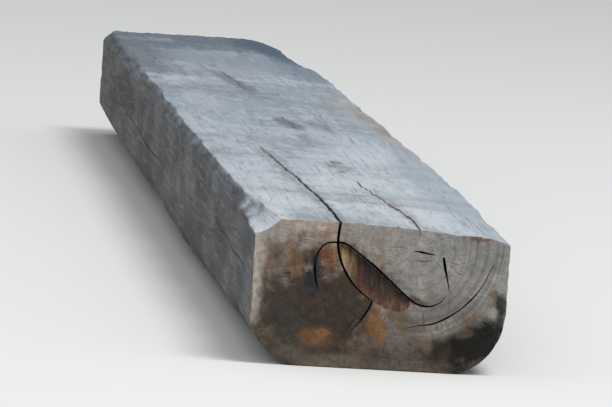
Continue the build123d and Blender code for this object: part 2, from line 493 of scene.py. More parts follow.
sides = timber.data
vertices = [tuple(vertex.co) for vertex in sides.vertices]
faces = [tuple(face.vertices) for face in sides.polygons]
lost = np.zeros(len(vertices), np.float32)
sides.attributes["lost"].data.foreach_get("value", lost)


def close_end(first, facing, pitch, sunk):
    """Fills the ring of vertices from first with even triangles, sunk in by a rule.

    They face along Y, or against it where facing is -1. What comes back is how far each new vertex sank.
    """
    edge = [Vector(vertices[first + column]) for column in range(column_count)]
    flat_edge = np.array([(point.x, point.z) for point in edge])
    across = np.arange(-WIDTH / 2, WIDTH / 2, pitch)
    up = np.arange(0, HEIGHT, pitch * math.sqrt(3) / 2)
    grid = np.stack(np.meshgrid(across, up), -1)
    grid[1::2, :, 0] += pitch / 2
    grid = grid.reshape(-1, 2)
    grid += np.random.default_rng(11).uniform(-UNEVENNESS, UNEVENNESS, grid.shape) * pitch
    apart = np.linalg.norm(grid[:, None] - flat_edge[None], axis=2).min(1)
    grid = grid[apart > CLEAR_OF_EDGE * pitch]
    flat = [Vector(point) for point in np.concatenate([flat_edge, grid])]
    bounds = [(column, (column + 1) % column_count) for column in range(column_count)]
    outline = [list(range(column_count))]
    made = geometry.delaunay_2d_cdt(flat, bounds, outline, 1, 1e-7)
    numbers, depths = [], []
    for place, origins in zip(made[0], made[3]):
        if origins and origins[0] < column_count:
            numbers.append(first + origins[0])
            continue
        numbers.append(len(vertices))
        depths.append(sunk(place.x, HEIGHT - place.y))
        vertices.append((place.x, edge[0].y - facing * depths[-1], place.y))
    for face in made[2]:
        corner = [numbers[index] for index in face]
        a, b, c = (Vector(vertices[index]) for index in corner[:3])
        turned = (b - a).cross(c - a).y * facing < 0
        faces.append(tuple(reversed(corner)) if turned else tuple(corner))
    return depths


around_count = len(vertices)
sunk_in = close_end(0, -1, NEAR_PITCH, sunken_lens)
sunk_in += close_end((row_count - 1) * column_count, 1, FAR_PITCH, level_end)
filled = len(sunk_in)
measures = {
    "lost": np.concatenate([lost, np.zeros(filled)]),
    "faces_up": np.concatenate([faces_up, np.zeros(filled)]),
    "on_end": np.concatenate([np.zeros(around_count), np.ones(filled)]),
    "sunk": np.concatenate([np.zeros(around_count), sunk_in]),
}
timber.data = new_timber_mesh(vertices, faces, measures)


# The finish of the long faces: bare wood that has weathered to a silvery grey, bluer and darker towards the
# far end by weathering and by painted shade, with fine dark lines along the grain, darker where its furrows
# are worn deepest and brown, damp wood where it lay on the ground. Stains of another colour lie over it. The
# left shoulder and the splits carry painted shade, and the near corner of the top painted light.
STAIN_WAVE = 0.030  # the size of the waves that push a stain's edge about
STAIN_PUSH = 0.014  # how far they push it
STAIN_OUTSIDE, STAIN_INSIDE = 1.45, 0.60  # where it ends and where it is full, as shares of its size
THROUGH = 1000.0  # a stain's half size through the wood, where it has no edge
BARE_GLOSS = 0.25


def tone(red, green, blue):
    """A colour as it is seen, 0 to 255 a part, in the linear form that a shader takes."""
    parts = [part / 255 for part in (red, green, blue)]
    return tuple(((part + 0.055) / 1.055) ** 2.4 for part in parts) + (1.0,)


@dataclass
class Stain:
    """A patch of another colour with a ragged edge, about oval, on a broad face or on an end."""

    across: float
    along: float  # along the timber on a broad face, upwards on an end
    half_width: float
    half_length: float
    colour: tuple  # red, green and blue as they are seen, 0 to 255
    strength: float
    turn: float = 0.0  # degrees


class Finish(Maker):
    """A material's node tree, on the wood's own coordinates."""

    def __init__(self, name):
        self.material = bpy.data.materials.new(name)
        self.material.use_nodes = True
        super().__init__(self.material.node_tree)
        self.tree.nodes.clear()
        self.point = self.node("ShaderNodeTexCoord").of("Object")

    def mix(self, share, below, above):
        """The colour below, covered by the one above as much as share says."""
        return self.node("ShaderNodeMix", {"data_type": "RGBA"}, {0: share, 6: below, 7: above})

    def attribute(self, name):
        return self.node("ShaderNodeAttribute", {"attribute_name": name}).of("Fac")

    def covered(self, colour, *coats):
        """The colour with coats over it.

        Each has its colour, its share, and a value with the start and end between which it comes in.
        """
        for coat, share, value, start, end in coats:
            colour = self.mix(self.step(value, start, end) * share, colour, coat)
        return colour

    def stained(self, colour, stains, edge, on_end=False):
        """The colour with these stains laid over it, whose edges this value makes ragged."""
        wave = self.noise((STAIN_WAVE,) * 3, detail=3.0).of("Color")
        away = self.vector("SUBTRACT", wave, (0.5, 0.5, 0.5))
        pushed = self.vector("MULTIPLY_ADD", away, (STAIN_PUSH,) * 3, self.point)
        for stain in stains:
            place = (stain.across, stain.along, 0.0)
            size = (stain.half_width, stain.half_length, THROUGH)
            turned = (0.0, 0.0, math.radians(stain.turn))
            if on_end:
                place = (stain.across, 0.0, stain.along)
                size = (stain.half_width, THROUGH, stain.half_length)
                turned = (0.0, -math.radians(stain.turn), 0.0)
            sockets = {0: pushed, "Location": place, "Rotation": turned, "Scale": size}
            spread = self.node("ShaderNodeMapping", {"vector_type": "TEXTURE"}, sockets)
            apart = self.vector("LENGTH", spread).of("Value") + edge
            cover = self.step(apart, STAIN_OUTSIDE, STAIN_INSIDE) * stain.strength
            colour = self.mix(cover, colour, tone(*stain.colour))
        return colour

    def close(self, colour, roughness, height, relief):
        """Ends the tree in a dull surface with a fine relief, in metres."""
        bump = self.node("ShaderNodeBump", {}, {"Height": height, "Distance": relief, "Strength": 1.0})
        sockets = {"Base Color": colour, "Roughness": roughness, "Normal": bump}
        sockets["Specular IOR Level"] = BARE_GLOSS
        surface = self.node("ShaderNodeBsdfPrincipled", {}, sockets)
        self.node("ShaderNodeOutputMaterial", {}, {"Surface": surface})


TOP_NEAR, TOP_MIDDLE, TOP_FAR_WITH_SHADE = tone(170, 177, 184), tone(137, 147, 158), tone(82, 95, 107)
TOP_PALE, TOP_DULL, TOP_WARM = tone(182, 188, 194), tone(106, 113, 120), tone(158, 152, 146)
SIDE_GREY, SIDE_DARK, SIDE_PALE = tone(102, 104, 107), tone(64, 64, 65), tone(136, 139, 143)
SIDE_BROWN, SHADED_SLATE_DARK, SHADED_SLATE_PALE = tone(96, 85, 75), tone(54, 57, 63), tone(98, 103, 111)
UNDER_BROWN, UNDER_DARK, CHECK_DARK_AND_SHADE = tone(104, 95, 85), tone(66, 57, 50), tone(30, 27, 25)
NEAR_PLACE, MIDDLE_PLACE, FAR_PLACE = -1.2, 0.3, 1.3  # where along it the top has its three main colours
TOP_DAMP, SCREW_MARK = (88, 94, 100), (96, 88, 96)
WANEY_BEIGE, WANEY_DARK = (146, 144, 141), (98, 94, 91)
SEAT_RUST, SCREW_RUST = (88, 66, 51), (52, 40, 33)
TOP_STAINS = [
    Stain(-0.010, 0.48, 0.010, 0.170, TOP_DAMP, 0.7, 4),
    Stain(0.005, -0.12, 0.010, 0.090, TOP_DAMP, 0.8, 5),
    Stain(0.010, -0.33, 0.008, 0.070, TOP_DAMP, 0.35),
    Stain(0.015, -0.625, 0.006, 0.014, SCREW_MARK, 0.7),
    Stain(0.010, -0.735, 0.006, 0.014, SCREW_MARK, 0.7),
    Stain(0.016, -0.68, 0.010, 0.050, TOP_DAMP, 0.4, 6),
    Stain(0.046, -0.16, 0.010, 0.070, TOP_DAMP, 0.35),
    Stain(-0.052, -0.62, 0.010, 0.140, TOP_DAMP, 0.35, 3),
    Stain(-0.045, -1.02, 0.007, 0.300, TOP_DAMP, 0.35, 1),
    Stain(0.033, -1.12, 0.006, 0.180, (128, 116, 112), 0.45, 2),
    Stain(-0.104, 0.86, 0.026, 0.320, (88, 97, 106), 0.7),
    Stain(0.098, 1.12, 0.034, 0.240, (66, 82, 98), 0.85),
    Stain(0.104, 0.72, 0.022, 0.160, (108, 121, 134), 0.6),
    Stain(0.000, 1.24, 0.110, 0.050, (86, 99, 111), 0.5),
    Stain(0.088, 1.20, 0.040, 0.130, (56, 73, 89), 0.8),
    Stain(0.080, 0.82, 0.036, 0.160, (108, 122, 136), 0.5),
    Stain(-0.090, 0.78, 0.034, 0.190, (98, 107, 116), 0.5),
    Stain(0.010, 0.80, 0.060, 0.200, (140, 149, 159), 0.5),
    Stain(0.106, -0.84, 0.030, 0.580, (132, 143, 153), 0.65),
    Stain(0.117, -0.22, 0.015, 0.210, WANEY_BEIGE, 0.7),
    Stain(0.112, 0.06, 0.020, 0.230, WANEY_BEIGE, 0.7, 2),
    Stain(0.117, -0.16, 0.008, 0.090, WANEY_DARK, 0.4, 4),
    Stain(0.110, 0.05, 0.007, 0.070, WANEY_DARK, 0.35, 3),
    Stain(0.119, 0.16, 0.006, 0.050, WANEY_DARK, 0.35),
    Stain(-0.070, 0.16, 0.022, 0.110, (172, 178, 185), 0.4),
    Stain(0.060, -0.45, 0.028, 0.160, (176, 184, 192), 0.4),
]
UNDER_STAINS = []
for side in (-1, 1):
    UNDER_STAINS.append(Stain(0.0, side * SEAT_CENTRE, 0.070, SCREWS_ALONG * 0.62, SEAT_RUST, 0.55))
    for across, along in ((-1, -1), (-1, 1), (1, -1), (1, 1)):
        place = (across * SCREWS_ACROSS / 2, side * SEAT_CENTRE + along * SCREWS_ALONG / 2)
        UNDER_STAINS.append(Stain(*place, 0.017, 0.030, SCREW_RUST, 0.7))

wood = Finish("silvered_wood")
across, along, up = wood.parts(wood.point)
mottle = wood.noise((0.060, 0.22, 0.060), detail=6.0, roughness=0.62)
flecks = wood.noise((0.010, 0.045, 0.010), detail=4.0, roughness=0.6)
streaks = wood.noise((0.20, 0.050, 0.5), detail=5.0, roughness=0.6)
bands = wood.noise((0.24, 0.15, 0.5), detail=3.0, seed=6.0)
fibres = wood.noise((0.0024, 0.10, 0.0024), detail=3.0, roughness=0.6)
threads = wood.noise((0.0009, 0.030, 0.0009), detail=2.0)
lines = wood.noise((0.016, 0.60, 0.016), detail=3.0)
hairlines = (1 - wood.step(abs(lines - 0.5), 0.0, 0.007)) * wood.step(mottle, 0.40, 0.58)
up_face = wood.attribute("faces_up") + (flecks - 0.5) * 0.45 + (mottle - 0.5) * 0.5
on_top = wood.step(up_face, 0.38, 0.86)
underneath = wood.step(up_face, -0.35, -0.85)

# Painted shade as well as weathering: the top is painted darker and bluer towards the far end, and its pale
# coats thin out there.
bleached_and_lit = 1 - wood.step(along, 0.5, 1.1) * 0.50
top = wood.covered(
    TOP_NEAR,
    (TOP_MIDDLE, 1.0, along, NEAR_PLACE, MIDDLE_PLACE),
    (TOP_FAR_WITH_SHADE, 1.0, along, MIDDLE_PLACE, FAR_PLACE),
    (TOP_DULL, 0.35, bands, 0.50, 0.36),
    (TOP_DULL, 0.40, streaks, 0.50, 0.72),
    (TOP_PALE, bleached_and_lit * 0.40, bands, 0.52, 0.66),
    (TOP_PALE, bleached_and_lit * 0.45, mottle, 0.50, 0.70),
    (TOP_DULL, 0.55, mottle, 0.46, 0.28),
    (TOP_WARM, 0.35, streaks, 0.44, 0.28),
    (TOP_PALE, bleached_and_lit * 0.40, flecks, 0.52, 0.72),
    (TOP_DULL, 0.40, flecks, 0.48, 0.30),
)
top = wood.stained(top, TOP_STAINS, (mottle - 0.5) * 1.6 + (flecks - 0.5) * 0.9)
side = wood.covered(
    SIDE_DARK,
    (SIDE_GREY, 1.0, mottle, 0.36, 0.64),
    (SIDE_BROWN, 0.15 + wood.step(up, 0.085, 0.025) * 0.55, streaks, 0.44, 0.64),
    (SIDE_PALE, 0.55, fibres, 0.50, 0.72),
    (SIDE_DARK, 0.50, flecks, 0.48, 0.30),
)
under = wood.covered(
    UNDER_DARK, (UNDER_BROWN, 1.0, mottle, 0.38, 0.62), (SIDE_GREY, 0.40, flecks, 0.50, 0.70)
)
under = wood.stained(under, UNDER_STAINS, (mottle - 0.5) * 1.2 + (flecks - 0.5) * 0.9)

# Painted shade: the tilted faces of the left shoulder are painted a dark slate grey, fainter at the very near
# end.
shoulder = wood.step(up_face, 0.86, 0.70) * wood.step(up_face, 0.15, 0.45)
shoulder = shoulder * wood.step(across, 0.0, -0.05) * (0.2 + wood.step(along, -1.25, -1.0) * 0.8)
shaded_slate = wood.mix(wood.step(flecks, 0.36, 0.64), SHADED_SLATE_DARK, SHADED_SLATE_PALE)
# Painted light: the hollow at the near left corner of the top is painted pale against its own shade, besides
# bleaching.
near_corner = wood.step(along, -1.16, -1.26) * wood.step(across, -0.080, -0.100)
near_corner = near_corner * wood.step(up + (flecks - 0.5) * 0.012, 0.121, 0.127)
colour = wood.mix(on_top, side, top)
colour = wood.mix(shoulder * 0.65, colour, shaded_slate)
colour = wood.mix(near_corner * (0.35 + flecks * 0.9), colour, TOP_PALE)
colour = wood.mix(underneath, colour, under)
# Darker where the weathering has worn the most wood away, and along the fibres.
colour = wood.covered(
    colour,
    (SIDE_DARK, 0.60 - on_top * 0.30, wood.attribute("lost"), 0.0008, 0.005),
    (SIDE_DARK, 0.55 - on_top * 0.25, fibres, 0.47, 0.28),
)
colour = wood.mix(hairlines * (0.60 - on_top * 0.35), colour, CHECK_DARK_AND_SHADE)
# Painted shade: the walls of the splits and screw holes are painted darker the deeper they lie, over their
# dark wood.
colour = wood.covered(colour, (CHECK_DARK_AND_SHADE, 0.93, wood.attribute("depth"), 0.0003, 0.003))
height = fibres * 0.6 + threads * 0.25 + flecks * 0.5 - hairlines * 0.6
wood.close(colour, 0.84 + fibres * 0.12, height, relief=0.0012)


# The finish of the end grain: growth rings round a heart near the top, light grey sapwood to the right and
# brown heartwood to the left, darker towards the foot by damp and by painted shade, with stains of damp, rust
# and rot and other darker and paler patches where they are.
HEART_ACROSS, HEART_UP = 0.030, 0.118
RING_PITCH = 0.0048
RAY_COUNT = 22.0
RAY_LENGTH = 0.035
END_GREY, END_TAN, END_FOOT_DAMP_AND_SHADE = tone(134, 131, 127), tone(142, 129, 117), tone(82, 73, 64)
LENS_TAN, LENS_RED = tone(130, 108, 78), tone(88, 60, 44)
LENS_DEEP_AND_SHADED, LENS_SHADE = tone(50, 36, 31), tone(32, 25, 21)
ROT_RUST, ROT_GREEN = tone(100, 72, 48), tone(60, 60, 54)
NEAR_STAINS = [
    Stain(-0.078, 0.130, 0.024, 0.008, (152, 137, 126), 0.6),
    Stain(-0.066, 0.058, 0.064, 0.060, (90, 74, 63), 0.94),
    Stain(-0.080, 0.020, 0.048, 0.022, (72, 64, 55), 0.88),
    Stain(-0.074, 0.058, 0.054, 0.042, (54, 46, 40), 0.92),
    Stain(-0.036, 0.064, 0.030, 0.038, (55, 45, 39), 0.92, -20),
    Stain(-0.106, 0.102, 0.012, 0.016, (106, 87, 75), 0.6),
    Stain(-0.090, 0.106, 0.005, 0.010, (126, 96, 70), 0.55, 6),
    Stain(-0.080, 0.100, 0.003, 0.012, (118, 88, 64), 0.5),
    Stain(-0.083, 0.090, 0.006, 0.006, (108, 84, 64), 0.45),
    Stain(-0.0535, 0.106, 0.011, 0.014, (98, 67, 46), 0.88),
    Stain(-0.047, 0.108, 0.002, 0.010, (140, 96, 60), 0.6),
    Stain(-0.067, 0.089, 0.0075, 0.020, (34, 39, 42), 0.94, -8),
    Stain(-0.1235, 0.092, 0.009, 0.042, (164, 155, 144), 0.9),
    Stain(-0.055, 0.133, 0.006, 0.004, (142, 106, 80), 0.6),
    Stain(-0.092, 0.045, 0.018, 0.010, (48, 49, 47), 0.6),
    Stain(-0.064, 0.029, 0.016, 0.009, (112, 78, 48), 0.75),
    Stain(-0.056, 0.032, 0.006, 0.004, (136, 94, 54), 0.7),
    Stain(-0.087, 0.013, 0.014, 0.006, (92, 84, 76), 0.5),
    Stain(-0.046, 0.007, 0.030, 0.006, (100, 91, 80), 0.6),
    Stain(-0.003, 0.046, 0.008, 0.013, (120, 88, 56), 0.85, 8),
    Stain(0.003, 0.032, 0.006, 0.007, (112, 79, 47), 0.7),
    Stain(0.018, 0.050, 0.013, 0.008, (100, 82, 60), 0.7, -10),
    Stain(0.006, 0.015, 0.013, 0.008, (66, 55, 51), 0.8),
    Stain(0.034, 0.030, 0.012, 0.009, (108, 98, 88), 0.5),
    Stain(0.036, 0.068, 0.008, 0.004, (66, 50, 41), 0.8, -20),
    Stain(0.063, 0.020, 0.026, 0.015, (50, 42, 36), 0.85),
    Stain(0.047, 0.031, 0.006, 0.011, (110, 94, 83), 0.6),
    Stain(0.097, 0.030, 0.029, 0.022, (17, 16, 15), 0.97, 24),
    Stain(0.093, 0.057, 0.009, 0.004, (104, 82, 60), 0.7, 30),
    Stain(0.060, 0.045, 0.022, 0.008, (136, 130, 121), 0.6, 14),
    Stain(0.084, 0.040, 0.008, 0.005, (92, 79, 66), 0.6, 20),
    Stain(0.099, 0.014, 0.010, 0.004, (72, 66, 60), 0.6, 30),
    Stain(0.104, 0.038, 0.009, 0.009, (22, 21, 20), 0.8),
    Stain(0.110, 0.078, 0.004, 0.005, (94, 68, 46), 0.75),
    Stain(0.116, 0.069, 0.005, 0.010, (32, 30, 28), 0.9),
    Stain(0.108, 0.062, 0.005, 0.004, (156, 148, 137), 0.6),
    # A darker grey band just under the top edge.
    Stain(0.066, 0.1345, 0.022, 0.003, (112, 112, 112), 0.6, -2),
    Stain(0.109, 0.114, 0.014, 0.012, (118, 117, 113), 0.5),
    Stain(0.097, 0.1325, 0.010, 0.0034, (108, 80, 60), 0.75, -4),
    Stain(-0.070, 0.136, 0.014, 0.005, (172, 158, 148), 0.6),
    Stain(-0.006, 0.125, 0.006, 0.004, (120, 96, 86), 0.5),
    Stain(-0.001, 0.108, 0.004, 0.006, (130, 100, 72), 0.5, 20),
]
FAR_STAINS = [
    Stain(0.020, 0.090, 0.060, 0.036, (92, 80, 70), 0.8, 10),
    Stain(-0.080, 0.030, 0.040, 0.020, (56, 51, 46), 0.85, -20),
    Stain(0.085, 0.028, 0.030, 0.018, (66, 58, 51), 0.8, 20),
    Stain(-0.045, 0.100, 0.018, 0.012, (118, 94, 72), 0.6, 20),
    Stain(0.000, 0.010, 0.080, 0.008, (84, 76, 68), 0.7),
]


def end_grain(name, stains, sunken):
    """The finish of one sawn end, with its own stains, and with the sunken lens where there is one."""
    grain = Finish(name)
    across, _, up = grain.parts(grain.point)
    ragged = grain.noise((0.018, 0.5, 0.018), detail=5.0, roughness=0.58)
    cloudy = grain.noise((0.035, 0.5, 0.035), detail=3.0)
    crumbs = grain.noise((0.0055, 0.5, 0.0055), detail=3.0, roughness=0.6)
    pits = grain.noise((0.0022, 0.5, 0.0022), detail=2.0)
    saw_marks = grain.noise((0.003, 0.5, 0.060), detail=2.0)

    offset_across = across - HEART_ACROSS
    offset_up = up - HEART_UP
    beside = offset_across * (1 - grain.step(offset_across, 0.0, -0.03) * 0.2)
    radius = grain.math("SQRT", beside * beside + offset_up * offset_up) + (cloudy - 0.5) * 0.007
    ring_sockets = {"W": radius / RING_PITCH, "Scale": 1.0, "Detail": 3.0}
    rings = grain.node("ShaderNodeTexNoise", {"noise_dimensions": "1D"}, ring_sockets)
    angle = grain.math("ARCTAN2", offset_across, -offset_up)
    fan = {"X": angle * RAY_COUNT, "Y": radius / RAY_LENGTH, "Z": cloudy * 1.5}
    ray_sockets = {"Vector": grain.node("ShaderNodeCombineXYZ", {}, fan), "Scale": 1.0, "Detail": 2.0}
    rays = grain.node("ShaderNodeTexNoise", {}, ray_sockets)
    ray_lines = (1 - grain.step(abs(rays - 0.5), 0.0, 0.012)) * grain.step(ragged, 0.44, 0.60)

    tanned = grain.step(across, 0.05, -0.03) * grain.step(up, 0.055, 0.105) * 0.8
    # Darker towards the foot: damp staining and painted shade.
    colour = grain.covered(
        END_GREY,
        (END_FOOT_DAMP_AND_SHADE, 1.0, up + (cloudy - 0.5) * 0.05, 0.105, 0.010),
        (END_TAN, tanned, ragged, 0.42, 0.60),
    )
    colour = grain.stained(colour, stains, (ragged - 0.5) * 2.0 + (crumbs - 0.5) * 0.6, on_end=True)
    if sunken:
        sunk = grain.attribute("sunk")
        streaky = grain.noise((0.0032, 0.5, 0.030), detail=3.0)
        # Painted shade in the sunken lens: over the heartwood's tan and red-brown, it is painted darker where
        # it has sunk deep, and near black as a painted shadow along the shake.
        shaded_depth = sunk - grain.step(across, -0.002, 0.014) * 0.0018 + (streaky - 0.5) * 0.0065
        lens = grain.covered(
            LENS_TAN,
            (LENS_RED, 1.0, across, -0.034, -0.022),
            (LENS_DEEP_AND_SHADED, grain.step(across, -0.030, -0.014), shaded_depth, 0.0004, 0.0022),
            (LENS_SHADE, 0.85, sunk, 0.0036, 0.0056),
        )
        lens = grain.scaled(lens, 0.55 + grain.step(streaky, 0.36, 0.64) * 0.85)
        colour = grain.covered(colour, (lens, 0.95, sunk, 0.0001, 0.0005))
    rotten = grain.step(across + (cloudy - 0.5) * 0.06, 0.02, -0.02) * grain.step(up, 0.125, 0.105)
    rusty = grain.noise((0.007, 0.5, 0.009), detail=4.0, seed=3.0)
    colour = grain.covered(
        colour, (ROT_RUST, rotten * 0.35, rusty, 0.50, 0.75), (ROT_GREEN, rotten * 0.45, rusty, 0.50, 0.28)
    )
    ring_strength = 0.10 + grain.step(across, 0.02, 0.09) * 0.14
    level = 0.06 + ragged * 1.10 + crumbs * 0.50 + saw_marks * 0.28
    level = level * (1 - grain.step(rings, 0.52, 0.40) * ring_strength)
    level = level * (1 - grain.step(pits, 0.40, 0.28) * 0.18) * (1 - ray_lines * 0.16)
    colour = grain.scaled(colour, level)
    # Painted shade: the walls of the splits are painted darker the deeper they lie, over their dark wood.
    colour = grain.covered(colour, (CHECK_DARK_AND_SHADE, 1.0, grain.attribute("depth"), 0.0008, 0.004))
    height = rings * 0.4 + pits * 0.3 + crumbs * 0.8 + ragged * 0.8 + saw_marks * 0.6 - ray_lines * 0.5
    grain.close(colour, 0.90, height, relief=0.0014)
    return grain.material


near_grain = end_grain("end_grain", NEAR_STAINS, sunken=True)
far_grain = end_grain("far_end_grain", FAR_STAINS, sunken=False)


# The splits: drying checks run in from the faces along the rays of the log, and shakes part it
# along its growth rings. Each is cut as a thin blade that narrows as it goes in.
OVERCUT = 0.005
BLADE_STEP = 0.002
CHECK_STEP = 0.014
SHAKE_DEPTH = 0.060
PART_WAY, PART_CLOSED = 0.3, 0.75  # shares of its depth and of its width, where a shake narrows faster
CLOSED = 0.06  # share of a shake's width that is left at its innermost edge
SHAKE_UNEVEN, CHECK_UNEVEN = 0.25, 0.15  # shares by which a split's width goes up and down
CHECK_WANDER, TOP_CHECK_WANDER = 0.0006, 0.0009  # how far the checks stray from their lines
# Points of each split on the near end: across, down from the crown of the top, and how wide it gapes
SHAKES = {
    "ring_shake": [
        (-0.0655, 0.040, 0.0008), (-0.064, 0.034, 0.0018), (-0.0605, 0.0265, 0.0022),
        (-0.055, 0.0215, 0.002), (-0.047, 0.0202, 0.002), (-0.039, 0.0208, 0.0024),
        (-0.029, 0.0258, 0.0022), (-0.018, 0.0335, 0.002), (-0.006, 0.0425, 0.002),
        (0.006, 0.0525, 0.002), (0.017, 0.062, 0.0022), (0.026, 0.0695, 0.0024),
        (0.034, 0.0748, 0.0024), (0.042, 0.0772, 0.0022), (0.050, 0.0766, 0.0018),
        (0.0575, 0.073, 0.0012), (0.063, 0.0665, 0.0006),
    ],
    "stained_shake": [
        (-0.0655, 0.037, 0.0012), (-0.065, 0.047, 0.0024), (-0.0635, 0.058, 0.0018), (-0.060, 0.067, 0.0005),
    ],
    "outer_shake": [
        (0.024, 0.100, 0.0004), (0.037, 0.0965, 0.0009), (0.051, 0.094, 0.0015), (0.065, 0.0875, 0.0017),
        (0.077, 0.079, 0.0017), (0.087, 0.069, 0.0016), (0.095, 0.059, 0.0013), (0.1005, 0.049, 0.001),
        (0.104, 0.040, 0.0007), (0.108, 0.033, 0.0004),
    ],
    "heart_check": [
        (-0.0075, 0.0745, 0.0018), (-0.010, 0.081, 0.0021), (-0.015, 0.090, 0.0019),
        (-0.0205, 0.098, 0.0014), (-0.027, 0.106, 0.0005),
    ],
    "heart_check_fork": [(-0.022, 0.091, 0.0005), (-0.028, 0.099, 0.001), (-0.033, 0.107, 0.0004)],
    "side_check": [
        (0.0585, 0.029, 0.0026), (0.060, 0.037, 0.0028), (0.063, 0.049, 0.002), (0.066, 0.061, 0.0006),
    ],
    "upper_dash": [
        (0.029, 0.0245, 0.0006), (0.036, 0.025, 0.0018), (0.045, 0.0265, 0.0016), (0.051, 0.0272, 0.0005),
    ],
    "lower_dash": [(0.031, 0.0335, 0.0004), (0.039, 0.0338, 0.001), (0.047, 0.0328, 0.0004)],
}
FAR_CHECKS = {
    "far_check_down": [
        (0.032, 0.030, 0.0004), (0.0285, 0.045, 0.0013), (0.0265, 0.058, 0.0017),
        (0.022, 0.072, 0.0014), (0.0215, 0.086, 0.0009), (0.017, 0.101, 0.0003),
    ],
    "far_check_left": [
        (0.020, 0.030, 0.0004), (0.004, 0.0335, 0.0011), (-0.012, 0.044, 0.0015),
        (-0.028, 0.0495, 0.0015), (-0.044, 0.062, 0.0011), (-0.060, 0.066, 0.0007), (-0.072, 0.075, 0.0003),
    ],
    "far_check_right": [
        (0.040, 0.032, 0.0004), (0.052, 0.0365, 0.001), (0.064, 0.047, 0.0013),
        (0.074, 0.0525, 0.001), (0.084, 0.066, 0.0006), (0.088, 0.076, 0.0003),
    ],
    "far_check_low": [
        (0.012, 0.052, 0.0003), (0.001, 0.066, 0.0008), (-0.006, 0.079, 0.0009), (-0.016, 0.092, 0.0003),
    ],
    "far_check_high": [
        (0.046, 0.027, 0.0003), (0.062, 0.025, 0.0009), (0.080, 0.028, 0.0006), (0.092, 0.027, 0.0003),
    ],
}
# The top check's line at four places: how far in, share of its gape, and its points across and down
TOP_CHECK_GAPE = 0.003
TOP_CHECK_TIP = 0.45  # how wide its lower end gapes, as a share of its mouth
TOP_CHECK_POINTS = 20
TOP_CHECK = [
    (-0.005, 1.0, [(-0.043, -0.005), (-0.0442, 0.025), (-0.0385, 0.043), (-0.0275, 0.06), (-0.0085, 0.0755)]),
    (0.200, 0.8, [(-0.0405, -0.005), (-0.0415, 0.020), (-0.0385, 0.034), (-0.032, 0.044), (-0.021, 0.052)]),
    (0.420, 0.5, [(-0.0445, -0.005), (-0.045, 0.010), (-0.044, 0.018), (-0.0425, 0.024), (-0.040, 0.029)]),
    (0.810, 0.10, [(-0.053, -0.005), (-0.053, 0.001), (-0.053, 0.003), (-0.0525, 0.005), (-0.052, 0.007)]),
]
# The checks along the faces: face, how deep, and points across or up, in from the near end, and gape
FACE_CHECKS = {
    "second_check": ("top", 0.011, [
        (0.034, -0.004, 0.0015), (0.035, 0.10, 0.0013), (0.030, 0.21, 0.001), (0.024, 0.29, 0.0008),
        (0.016, 0.46, 0.0002),
    ]),
    "middle_check": ("top", 0.008, [
        (0.010, 1.10, 0.0003), (0.008, 1.16, 0.0006), (0.006, 1.22, 0.0007), (0.005, 1.28, 0.0003),
    ]),
    "far_check": ("top", 0.008, [
        (-0.004, 1.66, 0.0003), (-0.007, 1.76, 0.0007), (-0.010, 1.85, 0.0008), (-0.014, 1.95, 0.0003),
    ]),
    "left_check": ("left", 0.016, [
        (0.083, 0.09, 0.0003), (0.081, 0.24, 0.0022), (0.086, 0.46, 0.0016), (0.088, 0.64, 0.0003),
    ]),
    "left_far_check": ("left", 0.014, [
        (0.072, 1.30, 0.0003), (0.069, 1.52, 0.0026), (0.073, 1.84, 0.0022), (0.078, 2.12, 0.0003),
    ]),
    "right_check": ("right", 0.014, [
        (0.094, 0.30, 0.0003), (0.091, 0.58, 0.0022), (0.095, 0.90, 0.0026), (0.090, 1.16, 0.0003),
    ]),
    "right_far_check": ("right", 0.016, [
        (0.079, 1.62, 0.0003), (0.082, 1.96, 0.002), (0.077, 2.32, 0.0024), (0.080, 2.604, 0.002),
    ]),
}
FINE_CHECKS = 30
FINE_CHECK_GAPE = 0.0009
FINE_CHECK_DEPTH = 0.006
NEARLY_SHUT = 0.0003

splits = bpy.data.collections.new("splits")
bpy.context.scene.collection.children.link(splits)
chance = np.random.default_rng(23)
near_end, far_end = -LENGTH / 2, LENGTH / 2


def add_blade(name, loops):
    """A closed solid through a row of closed loops, for cutting one split."""
    loops = np.asarray(loops)
    count, sides = loops.shape[:2]
    caps = [tuple(range(sides))[::-1], tuple(range((count - 1) * sides, count * sides))]
    mesh = bpy.data.meshes.new(name)
    mesh.from_pydata(loops.reshape(-1, 3).tolist(), [], walls_between(count, sides) + caps)
    shape = bmesh.new()
    shape.from_mesh(mesh)
    bmesh.ops.triangulate(shape, faces=shape.faces)
    bmesh.ops.recalc_face_normals(shape, faces=shape.faces)
    shape.to_mesh(mesh)
    shape.free()
    splits.objects.link(bpy.data.objects.new(name, mesh))


def gap_loop(across, down, gape, along, count):
    """The closed outline of a split on one cross-section, gaping evenly to both sides of its line."""
    line = np.stack([across, HEIGHT - down], -1)
    run = np.concatenate([[0], np.cumsum(np.linalg.norm(np.diff(line, axis=0), axis=1))])
    at = np.linspace(0, run[-1], count)
    line = np.stack([smooth_through(run, line[:, part], at) for part in (0, 1)], -1)
    way = np.gradient(line, axis=0)
    aside = np.stack([-way[:, 1], way[:, 0]], -1) / np.linalg.norm(way, axis=1, keepdims=True)
    half = np.interp(at, run, gape)[:, None] / 2
    outline = np.concatenate([line + aside * half, (line - aside * half)[::-1]])
    return np.stack([outline[:, 0], np.full(len(outline), along), outline[:, 1]], -1)


